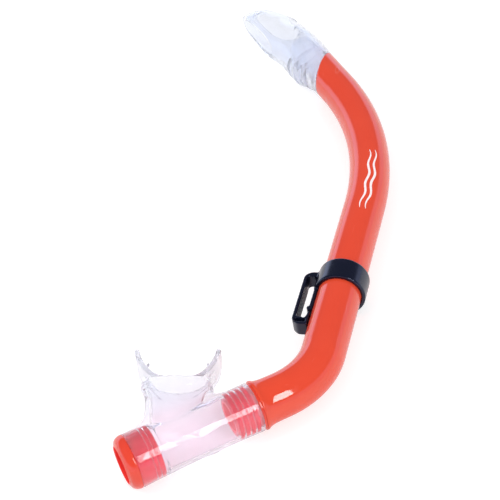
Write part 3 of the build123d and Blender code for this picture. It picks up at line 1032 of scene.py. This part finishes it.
def red_plastic(name, colour, deep_colour, roughness, wear):
    """Glossy solid plastic: faint mottling, a few pale scratches, handling marks in the gloss
    and a long soft ripple. Where the "inside" attribute is high, a painted glow (emission)
    stands in for light coming through thin walls; where "sleeved" is high, the colour is
    painted a brighter crimson for the look of light through the clear sleeve."""
    red = Material(name)
    mottled = red.mixed(red.ranged(red.noise(35, 4), 0, 1), colour, deep_colour)
    lines = red.math("COMPARE", red.noise(90, 0, SCRATCH_STRETCH), SCRATCH_LEVEL, SCRATCH_WIDTH)
    patches = red.ranged(red.noise(60, 1), 0, wear, 0.61, 0.68)
    scratched = red.mixed(red.math("MULTIPLY", lines, patches), mottled, SCRATCH_PINK)
    scuffs = red.ranged(red.noise(260, 6, ALONG_Y), 0, 0.10, 0.55, 0.75)
    clouds = red.ranged(red.noise(45, 3), roughness * 0.8, roughness * 1.25)
    ripple = red.bump(red.noise(22, 1), 0.12, 0.0005)
    # painted glow in the bore, for light coming through the thin walls
    painted_glow = red.ranged(red.attribute("inside"), 0, PAINTED_WALL_GLOW_STRENGTH, 0, 1)
    red.set(
        # painted brighter crimson where the clear sleeve covers the part
        Base_Color=red.mixed(red.attribute("sleeved"), scratched, PAINTED_SLEEVE_CRIMSON),
        Roughness=red.math("ADD", scuffs, clouds),
        Normal=red.bump(red.noise(900, 3), 0.03, 0.0001, ripple),
        IOR=1.54,
        Emission_Color=PAINTED_WALL_GLOW,
        Emission_Strength=painted_glow,
    )
    return red.material


def pale_shadow(clear):
    """Lets light through a clear material with a faint tint, so that its shadow stays pale."""
    see_through = clear.add("BsdfTransparent")
    clear.feed(see_through.inputs["Color"], SHADOW_TINT)
    mix = clear.add("MixShader")
    shader_inputs = mix.inputs[1:]
    clear.feed(mix.inputs[0], clear.add("LightPath").outputs["Is Shadow Ray"])
    clear.feed(shader_inputs[0], clear.shader.outputs[0])
    clear.feed(shader_inputs[1], see_through.outputs[0])
    clear.feed(clear.tree.nodes["Material Output"].inputs["Surface"], mix.outputs[0])


def clear_plastic(name, tint, painted_pink_tint, painted_edge_tint, index, roughness, far_haze, wobble):
    """Clear moulding, slightly milky, with a wavy glossy skin. A painted pink, standing in for
    the red of the parts inside, shows where the mesh's stored share of it is high, and the skin
    is hazier far from there. Where the skin turns away from the eye it takes a painted edge
    colour for the look light gives its rims, and looks milkier."""
    clear = Material(name)
    # Painted pink: the clear skin is tinted near the red parts inside, for their red seen in it
    painted_pink = clear.attribute("painted_pink")
    patchy_painted_pink = clear.math("MULTIPLY", painted_pink, clear.ranged(clear.noise(40, 3), 0.7, 1))
    tint_with_painted_pink = clear.mixed(patchy_painted_pink, tint, painted_pink_tint)
    facing = clear.add("LayerWeight").outputs["Facing"]
    clouds = clear.ranged(clear.noise(80, 4), roughness * 0.6, roughness * 2.0)
    haze = clear.math("ADD", clouds, clear.ranged(painted_pink, far_haze, 0, 0.2, 0.9))
    waves = clear.bump(clear.noise(95, 2), wobble, 0.0008)
    surface = clear.bump(clear.noise(520, 3), 0.5 * wobble, 0.0002, waves)
    clearness = clear.ranged(clear.noise(60, 3), 0.86, 0.94)
    milkiness = clear.ranged(facing, 0, MOST_MILKY, 0.5, 1)
    clear.set(
        # painted edge colour where the skin turns away from the eye, for the look light gives its
        # rims
        Base_Color=clear.mixed(clear.ranged(facing, 0, 1, 0.45, 0.95), tint_with_painted_pink, painted_edge_tint),
        Roughness=haze,
        Normal=surface,
        IOR=index,
        Coat_Weight=0.28,
        Coat_IOR=1.5,
        Coat_Roughness=0.03,
        Coat_Normal=surface,
        Transmission_Weight=clear.math("SUBTRACT", clearness, milkiness),
    )
    pale_shadow(clear)
    return clear.material


def black_plastic(name):
    """Satin black moulding with a cool sheen, fine grain and faint rubbed patches."""
    black = Material(name)
    rubbed = black.ranged(black.noise(120, 5), 0, 1, 0.5, 0.75)
    soft = black.bump(black.noise(60, 2), 0.2, 0.0004)
    black.set(
        Base_Color=black.mixed(rubbed, (0.003, 0.004, 0.012), (0.007, 0.007, 0.020)),
        Roughness=black.ranged(black.noise(150, 4), 0.14, 0.22),
        Normal=black.bump(black.noise(1400, 2), 0.15, 0.0001, soft),
        IOR=1.55,
        Specular_Tint=(0.72, 0.75, 1.0),
    )
    return black.material


def valve_rubber(name):
    """Milky thin silicone of the valve disc."""
    rubber = Material(name)
    mottle = rubber.ranged(rubber.noise(200, 3), 0, 1)
    rubber.set(
        Base_Color=rubber.mixed(mottle, (0.78, 0.80, 0.83), (0.88, 0.89, 0.92)),
        Roughness=rubber.ranged(rubber.noise(300, 3), 0.25, 0.4),
        Normal=rubber.bump(rubber.noise(400, 2), 0.2, 0.0002),
        Transmission_Weight=0.5,
        IOR=1.41,
    )
    return rubber.material


def white_ink(name):
    """Pad-printed ink with slightly worn coverage."""
    ink = Material(name)
    worn = ink.ranged(ink.noise(700, 5), 0, 1, 0.35, 0.8)
    ink.set(
        Base_Color=ink.mixed(worn, (0.92, 0.78, 0.80), (0.95, 0.90, 0.91)),
        Roughness=ink.ranged(ink.noise(500, 3), 0.35, 0.5),
        Normal=ink.bump(ink.noise(1500, 2), 0.2, 0.0001),
    )
    return ink.material


tube_red = red_plastic(
    "tube_red", (0.74, 0.070, 0.030), (0.71, 0.062, 0.026), roughness=0.05, wear=0.09
)
moulded_red = red_plastic(
    "moulded_red", (0.74, 0.060, 0.028), (0.70, 0.050, 0.026), roughness=0.06, wear=0.06
)
silicone = clear_plastic(
    "clear_silicone", tint=(0.845, 0.853, 0.90), painted_pink_tint=(0.945, 0.845, 0.895),
    painted_edge_tint=(0.93, 0.90, 0.945), index=1.15, roughness=0.03, far_haze=0.18, wobble=0.09
)
clear_pvc = clear_plastic(
    "clear_pvc", tint=(0.86, 0.88, 0.94), painted_pink_tint=(0.965, 0.91, 0.945),
    painted_edge_tint=(0.87, 0.885, 0.935), index=1.22, roughness=0.02, far_haze=0.05, wobble=0.25
)
keeper_black = black_plastic("keeper_black")
valve_silicone = valve_rubber("valve_silicone")
print_ink = white_ink("print_ink")


# Values stored on the points of a mesh, for its material

MARK_EDGE = 0.3               # length over which a marked part fades out
# Radii inside which the bores of the red pieces get the painted glow
HOUSING_INSIDE_R = 11.1
CONNECTOR_INSIDE_R = 9.5
# Reach of the painted pink on the clear sleeve and on the hood
SLEEVE_PAINTED_PINK_R = 15.0
SLEEVE_PAINTED_PINK_FADE = 9.0
RIM_PAINTED_PINK_FADE = 7.0


def store(mesh, name, values):
    """Keeps one number on each point of a mesh."""
    mesh.attributes.new(name, "FLOAT", "POINT").data.foreach_set("value", values)


def points_of(mesh):
    """The points of a mesh, in millimetres."""
    return np.array([vertex.co for vertex in mesh.vertices]) / MM


def with_painted_pink(mesh, share):
    """Marks how much painted pink each point of a clear mesh gets, standing in for the red of
    the parts inside it.
    """
    store(mesh, "painted_pink", share(points_of(mesh)))
    return mesh


def near_sleeve(points):
    """High on the sleeve, and fading up the port."""
    radial = chamber_parts(points)[1]
    return np.exp(-np.maximum(radial - SLEEVE_PAINTED_PINK_R, 0) / SLEEVE_PAINTED_PINK_FADE)


def near_rim(points):
    """High at the tube's rim, and fading up the hood."""
    along, shift = top_parts(points)[:2]
    return np.exp(-np.maximum(above_cut(along, shift), 0) / RIM_PAINTED_PINK_FADE)


def marked_inside(mesh, radius):
    """Marks a turned red piece for its painted light: the bore inside a radius gets the painted
    glow, and the part the sleeve covers is painted a brighter crimson.
    """
    along, radial = chamber_parts(points_of(mesh))
    covered = smooth_step(along, SLEEVE_START, SLEEVE_START + MARK_EDGE)
    covered *= smooth_step(SLEEVE_LENGTH - along, 0, MARK_EDGE)
    store(mesh, "inside", smooth_step(radius - radial, -MARK_EDGE, 0))
    store(mesh, "sleeved", covered)


# Pieces

def skin(node, mesh, material, body):
    """A finished piece that stands for a CAD node, with its own material; the node is hidden."""
    piece = add_object(mesh.name, mesh, material, body)
    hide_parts(node)


def net_skin(node, field, cell, margin=4.0, passes=4):
    """Mesh of a field's surface, in a CAD node's box with a margin round it."""
    low, high = [np.array(corner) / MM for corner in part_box(node)]
    return implicit_mesh(node + "_skin", field, low - margin, high + margin, cell, passes)


for node in frame["nodes"].values():
    node.data.materials.clear()
    node.data.materials.append(moulded_red)
    node.data.shade_smooth()

mouth = net_skin("mouthpiece", mouthpiece_field, 0.8)
keeper = net_skin("strap_keeper", keeper_field, 0.5, 2.0, 2)
hood = net_skin("splash_hood", hood_field, 0.65)
socket = net_skin("splash_socket", socket_field, 0.6, 2.0)
connector = lathe("connector_skin", connector_outline())
housing = lathe("housing_skin", housing_outline())
disc = lathe("disc_skin", disc_outline(), DISC_SEGMENTS)

skin("main_tube", tube_mesh(), tube_red, "tube")
skin("mouthpiece", with_painted_pink(mouth, near_sleeve), silicone, "mouth_unit")
skin("strap_keeper", keeper, keeper_black, "keeper")
skin("splash_hood", with_painted_pink(hood, near_rim), clear_pvc, "tube")
skin("splash_socket", with_painted_pink(socket, near_rim), clear_pvc, "tube")
marked_inside(connector, CONNECTOR_INSIDE_R)
skin("barbed_connector", connector, moulded_red, "tube")
marked_inside(housing, HOUSING_INSIDE_R)
skin("purge_housing", housing, moulded_red, "mouth_unit")
skin("purge_valve_disc", disc, valve_silicone, "valve")
for name, side in (("mark_upper", 1), ("mark_lower", -1)):
    add_object(name, mark_mesh(name, side * MARK_GAP / 2), print_ink, "tube")


# Stage: a pale floor that glows a little, more so to the eye

FLOOR_HALF_SIZE = 4000.0
FLOOR_GREY = (0.60, 0.60, 0.605)
FLOOR_GLOW = 0.42
FLOOR_GLOW_SEEN = 0.58


def floor():
    """A large flat sheet at the height of the lowest CAD point."""
    corners = np.array([(-1, -1, 0), (1, -1, 0), (1, 1, 0), (-1, 1, 0)])
    mesh = mesh_from("floor", corners * FLOOR_HALF_SIZE, [(0, 1, 2, 3)])
    sheet = bpy.data.objects.new("floor", mesh)
    bpy.context.scene.collection.objects.link(sheet)
    sheet.location.z = bounds_at_load[0][2]
    white = Material("floor_white")
    seen = white.add("LightPath").outputs["Is Camera Ray"]
    white.set(
        Base_Color=FLOOR_GREY,
        Roughness=0.6,
        Emission_Color=(1, 1, 1),
        Emission_Strength=white.ranged(seen, FLOOR_GLOW, FLOOR_GLOW_SEEN, 0, 1),
    )
    mesh.materials.append(white.material)


# Camera: aimed at a point in the tube's plane, given from the joint

CAMERA_AIM = JOINT + (-34.045, 126.694, 0.0)
CAMERA_AZIMUTH = 20.68
CAMERA_ELEVATION = 39.015
CAMERA_ROLL = -11.4644
CAMERA_DISTANCE = 954.83
SENSOR_WIDTH = 36.0
LENS = 115.2
SIGHT_END = 20.0              # in metres


def compass(azimuth, elevation):
    """Unit vector towards an azimuth, from -Y towards +X, and an elevation above the floor."""
    a, e = radians(azimuth), radians(elevation)
    return Vector((sin(a) * cos(e), -cos(a) * cos(e), sin(e)))


def camera():
    """A long lens that looks down from the mouthpiece's end."""
    data = bpy.data.cameras.new("camera")
    data.lens = LENS
    data.sensor_width = SENSOR_WIDTH
    data.clip_end = SIGHT_END
    eye = bpy.data.objects.new("camera", data)
    bpy.context.scene.collection.objects.link(eye)
    back = compass(CAMERA_AZIMUTH, CAMERA_ELEVATION)
    place = Vector(CAMERA_AIM * MM) + back * CAMERA_DISTANCE * MM
    turn = Quaternion(back, radians(CAMERA_ROLL)) @ back.to_track_quat("Z", "Y")
    eye.matrix_world = Matrix.LocRotScale(place, turn, None)
    bpy.context.scene.camera = eye


# Light: a narrow key, a wide fill, and the room

LAMP_DISTANCE = 3.0           # in metres, as are the lamps' sizes
ROOM_LIGHT = 0.70
LEFT_BACKDROP_LIGHT = 1.5
RIGHT_BACKDROP_LIGHT = 0.9
CEILING_LIGHT = 0.18
SEEN_LIGHT = 1.1
BACKDROP_TOP = 0.2
CEILING_FROM = 0.34
BACKDROP_SIDE = 0.6
REFLECTION_HUE = (0.84, 0.95, 1.25)


def softbox(name, azimuth, elevation, width, height, power):
    """Rectangular light aimed at the joint."""
    data = bpy.data.lights.new(name, "AREA")
    data.shape = "RECTANGLE"
    data.size = width
    data.size_y = height
    data.energy = power
    lamp = bpy.data.objects.new(name, data)
    bpy.context.scene.collection.objects.link(lamp)
    way = compass(azimuth, elevation)
    lamp.location = Vector(JOINT * MM) + way * LAMP_DISTANCE
    lamp.rotation_euler = way.to_track_quat("Z", "Y").to_euler()
    return lamp


def room():
    """Even soft light for most rays. Reflections show a bluish room: a bright low backdrop,
    brightest on the left, under a darker ceiling. The eye sees plain bright white."""
    world = bpy.data.worlds.new("world")
    bpy.context.scene.world = world
    world.use_nodes = True
    sky = Nodes(world.node_tree)
    background = sky.tree.nodes["Background"]
    ray = sky.add("LightPath")
    glossy = ray.outputs["Is Glossy Ray"]
    way = sky.add("SeparateXYZ")
    sky.feed(way.inputs[0], sky.add("TexCoord").outputs["Generated"])
    backdrop = sky.ranged(way.outputs["X"], LEFT_BACKDROP_LIGHT, RIGHT_BACKDROP_LIGHT,
                          -BACKDROP_SIDE, BACKDROP_SIDE)
    reflected = sky.ranged(way.outputs["Z"], backdrop, CEILING_LIGHT,
                           BACKDROP_TOP, CEILING_FROM, "SMOOTHSTEP")
    unseen = sky.mixed(glossy, ROOM_LIGHT, reflected, "FLOAT")
    strength = sky.mixed(ray.outputs["Is Camera Ray"], unseen, SEEN_LIGHT, "FLOAT")
    sky.feed(background.inputs["Strength"], strength)
    sky.feed(background.inputs["Color"], sky.mixed(glossy, (1, 1, 1), REFLECTION_HUE))


floor()
camera()
softbox("key", 55, 39, width=0.58, height=1.45, power=36)
fill = softbox("fill", -75, 50, width=2.0, height=2.0, power=34)
fill.visible_glossy = False
fill.visible_transmission = False
room()
bpy.context.scene.view_settings.view_transform = "Standard"
